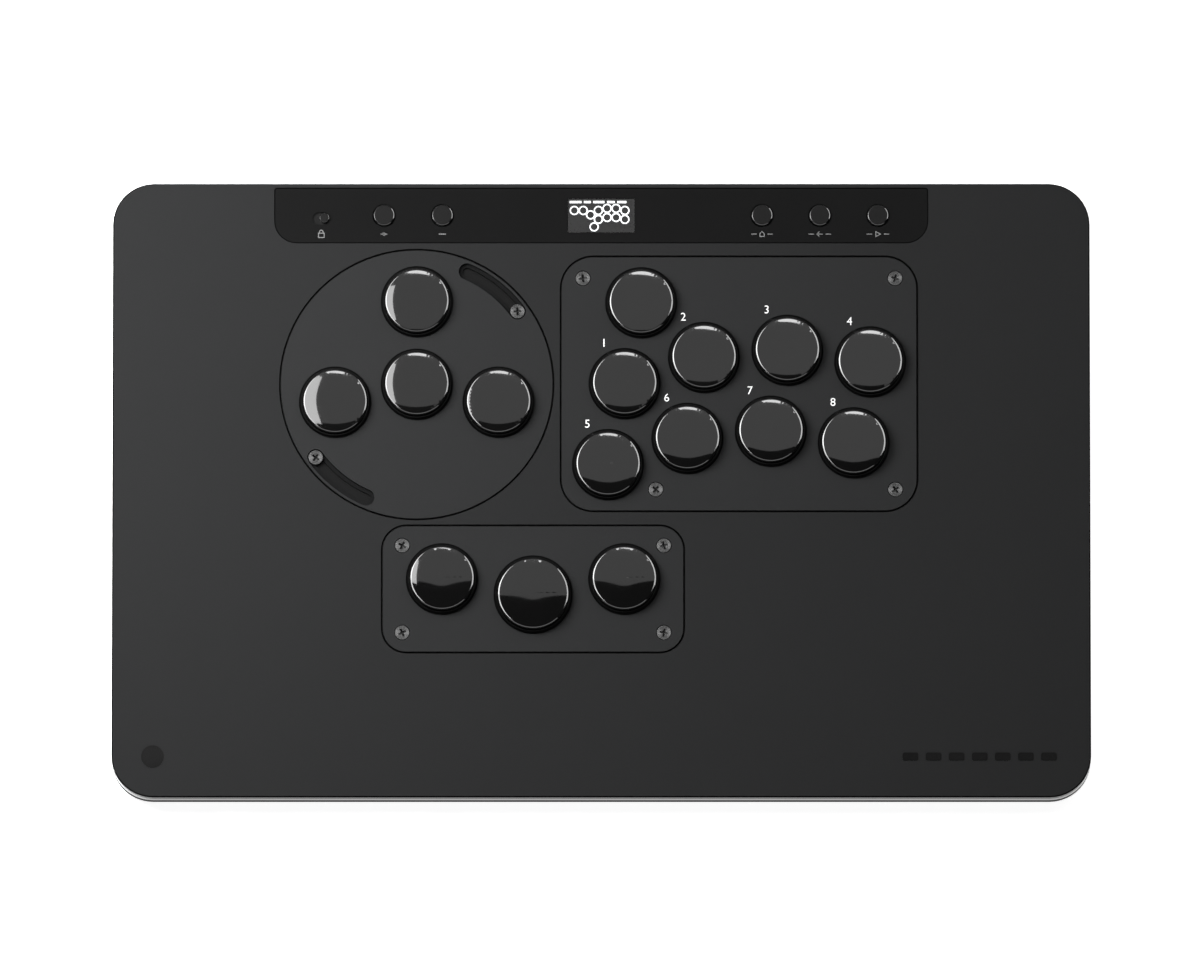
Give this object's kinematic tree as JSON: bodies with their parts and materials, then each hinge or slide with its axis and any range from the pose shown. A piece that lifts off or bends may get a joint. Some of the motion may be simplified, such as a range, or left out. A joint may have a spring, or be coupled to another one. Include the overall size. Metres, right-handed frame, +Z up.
{
  "type": "arcade control panel",
  "caption": "Slim all-button arcade control panel with a swivelling direction disc, action and thumb button plates, and a control strip with a small display.",
  "frame": {"origin": "on the supporting surface, under the middle of the case", "axes": "+X to the player's right, +Y away from the player, +Z up"},
  "size_m": [0.365, 0.232, 0.0187],
  "materials": {
    "panel_metal": "satin black anodised sheet",
    "plate_metal": "satin black anodised sheet",
    "tray_metal": "fine-textured black powder coat",
    "frame_metal": "plain milled sheet",
    "trim_gloss": "polished black moulding",
    "cap_gloss": "polished black moulding",
    "bezel_gloss": "polished black moulding",
    "strip_gloss": "black back-printed sheet",
    "window_glass": "clear",
    "display_dark": "display glass on its board",
    "screw_black": "blackened, turned faces",
    "board_fr4": "solder-masked laminate",
    "component_black": "moulded",
    "switch_plastic": "moulded",
    "slider_grey": "moulded",
    "spring_steel": "drawn wire",
    "standoff_brass": "turned",
    "foot_rubber": "moulded",
    "socket_steel": "stamped shell",
    "ribbon_plastic": "flat flexible cable",
    "badge_gloss": "polished inlay"
  },
  "bodies": {
    "root": {"action_bezels": "bezel_gloss", "action_board": "board_fr4", "action_plate": "plate_metal", "action_springs": "spring_steel", "action_switches": "switch_plastic", "board_components": "component_black", "board_screws": "screw_black", "bottom_tray": "tray_metal", "case_screws": "screw_black", "disc_screws": "screw_black", "display_module": "display_dark", "display_window": "window_glass", "lock_switch": "component_black", "main_board": "board_fr4", "plate_screws": "screw_black", "plate_standoffs": "standoff_brass", "ribbon_cables": "ribbon_plastic", "round_badge": "badge_gloss", "rubber_feet": "foot_rubber", "strip_cover": "strip_gloss", "stripe_badges": "badge_gloss", "support_frame": "frame_metal", "tact_switches": "component_black", "thumb_bezels": "bezel_gloss", "thumb_board": "board_fr4", "thumb_plate": "plate_metal", "thumb_springs": "spring_steel", "thumb_switches": "switch_plastic", "top_panel": "panel_metal", "trim_frame": "trim_gloss", "usb_socket": "socket_steel"},
    "disc": {"disc_plate": "plate_metal", "disc_bezels": "bezel_gloss", "disc_switches": "switch_plastic", "disc_springs": "spring_steel", "disc_standoffs": "standoff_brass", "disc_board": "board_fr4", "disc_board_screws": "screw_black"},
    "button_up": {"button_up": "cap_gloss"},
    "button_left": {"button_left": "cap_gloss"},
    "button_down": {"button_down": "cap_gloss"},
    "button_right": {"button_right": "cap_gloss"},
    "button_action_1": {"button_action_1": "cap_gloss"},
    "button_action_2": {"button_action_2": "cap_gloss"},
    "button_action_3": {"button_action_3": "cap_gloss"},
    "button_action_4": {"button_action_4": "cap_gloss"},
    "button_action_5": {"button_action_5": "cap_gloss"},
    "button_action_6": {"button_action_6": "cap_gloss"},
    "button_action_7": {"button_action_7": "cap_gloss"},
    "button_action_8": {"button_action_8": "cap_gloss"},
    "button_action_extra": {"button_action_extra": "cap_gloss"},
    "button_thumb_left": {"button_thumb_left": "cap_gloss"},
    "button_thumb_middle": {"button_thumb_middle": "cap_gloss"},
    "button_thumb_right": {"button_thumb_right": "cap_gloss"},
    "button_lamp": {"button_lamp": "cap_gloss"},
    "button_mode": {"button_mode": "cap_gloss"},
    "button_home": {"button_home": "cap_gloss"},
    "button_back": {"button_back": "cap_gloss"},
    "button_start": {"button_start": "cap_gloss"},
    "lock_knob": {"lock_knob": "slider_grey"}
  },
  "joints": [
    {"name": "disc_swivel", "type": "hinge", "parent": "root", "child": "disc", "pos_m": [-0.0689, 0.0399, 0.0115], "axis": [0, 0, 1], "range_deg": [-30, 0]},
    {"name": "button_up_press", "type": "slide", "parent": "disc", "child": "button_up", "axis": [0, 0, 1], "range_m": [-0.0028, 0], "stiffness_N_per_m": 100, "springref_m": 0.003, "deforming": ["disc_springs"]},
    {"name": "button_left_press", "type": "slide", "parent": "disc", "child": "button_left", "axis": [0, 0, 1], "range_m": [-0.0028, 0], "stiffness_N_per_m": 100, "springref_m": 0.003, "deforming": ["disc_springs"]},
    {"name": "button_down_press", "type": "slide", "parent": "disc", "child": "button_down", "axis": [0, 0, 1], "range_m": [-0.0028, 0], "stiffness_N_per_m": 100, "springref_m": 0.003, "deforming": ["disc_springs"]},
    {"name": "button_right_press", "type": "slide", "parent": "disc", "child": "button_right", "axis": [0, 0, 1], "range_m": [-0.0028, 0], "stiffness_N_per_m": 100, "springref_m": 0.003, "deforming": ["disc_springs"]},
    {"name": "button_action_1_press", "type": "slide", "parent": "root", "child": "button_action_1", "axis": [0, 0, 1], "range_m": [-0.0028, 0], "stiffness_N_per_m": 100, "springref_m": 0.003, "deforming": ["action_springs"]},
    {"name": "button_action_2_press", "type": "slide", "parent": "root", "child": "button_action_2", "axis": [0, 0, 1], "range_m": [-0.0028, 0], "stiffness_N_per_m": 100, "springref_m": 0.003, "deforming": ["action_springs"]},
    {"name": "button_action_3_press", "type": "slide", "parent": "root", "child": "button_action_3", "axis": [0, 0, 1], "range_m": [-0.0028, 0], "stiffness_N_per_m": 100, "springref_m": 0.003, "deforming": ["action_springs"]},
    {"name": "button_action_4_press", "type": "slide", "parent": "root", "child": "button_action_4", "axis": [0, 0, 1], "range_m": [-0.0028, 0], "stiffness_N_per_m": 100, "springref_m": 0.003, "deforming": ["action_springs"]},
    {"name": "button_action_5_press", "type": "slide", "parent": "root", "child": "button_action_5", "axis": [0, 0, 1], "range_m": [-0.0028, 0], "stiffness_N_per_m": 100, "springref_m": 0.003, "deforming": ["action_springs"]},
    {"name": "button_action_6_press", "type": "slide", "parent": "root", "child": "button_action_6", "axis": [0, 0, 1], "range_m": [-0.0028, 0], "stiffness_N_per_m": 100, "springref_m": 0.003, "deforming": ["action_springs"]},
    {"name": "button_action_7_press", "type": "slide", "parent": "root", "child": "button_action_7", "axis": [0, 0, 1], "range_m": [-0.0028, 0], "stiffness_N_per_m": 100, "springref_m": 0.003, "deforming": ["action_springs"]},
    {"name": "button_action_8_press", "type": "slide", "parent": "root", "child": "button_action_8", "axis": [0, 0, 1], "range_m": [-0.0028, 0], "stiffness_N_per_m": 100, "springref_m": 0.003, "deforming": ["action_springs"]},
    {"name": "button_action_extra_press", "type": "slide", "parent": "root", "child": "button_action_extra", "axis": [0, 0, 1], "range_m": [-0.0028, 0], "stiffness_N_per_m": 100, "springref_m": 0.003, "deforming": ["action_springs"]},
    {"name": "button_thumb_left_press", "type": "slide", "parent": "root", "child": "button_thumb_left", "axis": [0, 0, 1], "range_m": [-0.0028, 0], "stiffness_N_per_m": 100, "springref_m": 0.003, "deforming": ["thumb_springs"]},
    {"name": "button_thumb_middle_press", "type": "slide", "parent": "root", "child": "button_thumb_middle", "axis": [0, 0, 1], "range_m": [-0.0028, 0], "stiffness_N_per_m": 100, "springref_m": 0.003, "deforming": ["thumb_springs"]},
    {"name": "button_thumb_right_press", "type": "slide", "parent": "root", "child": "button_thumb_right", "axis": [0, 0, 1], "range_m": [-0.0028, 0], "stiffness_N_per_m": 100, "springref_m": 0.003, "deforming": ["thumb_springs"]},
    {"name": "button_lamp_press", "type": "slide", "parent": "root", "child": "button_lamp", "axis": [0, 0, 1], "range_m": [-0.0005, 0], "stiffness_N_per_m": 300, "springref_m": 0.001},
    {"name": "button_mode_press", "type": "slide", "parent": "root", "child": "button_mode", "axis": [0, 0, 1], "range_m": [-0.0005, 0], "stiffness_N_per_m": 300, "springref_m": 0.001},
    {"name": "button_home_press", "type": "slide", "parent": "root", "child": "button_home", "axis": [0, 0, 1], "range_m": [-0.0005, 0], "stiffness_N_per_m": 300, "springref_m": 0.001},
    {"name": "button_back_press", "type": "slide", "parent": "root", "child": "button_back", "axis": [0, 0, 1], "range_m": [-0.0005, 0], "stiffness_N_per_m": 300, "springref_m": 0.001},
    {"name": "button_start_press", "type": "slide", "parent": "root", "child": "button_start", "axis": [0, 0, 1], "range_m": [-0.0005, 0], "stiffness_N_per_m": 300, "springref_m": 0.001},
    {"name": "lock_slide", "type": "slide", "parent": "root", "child": "lock_knob", "axis": [1, 0, 0], "range_m": [-0.0023, 0]}
  ]
}
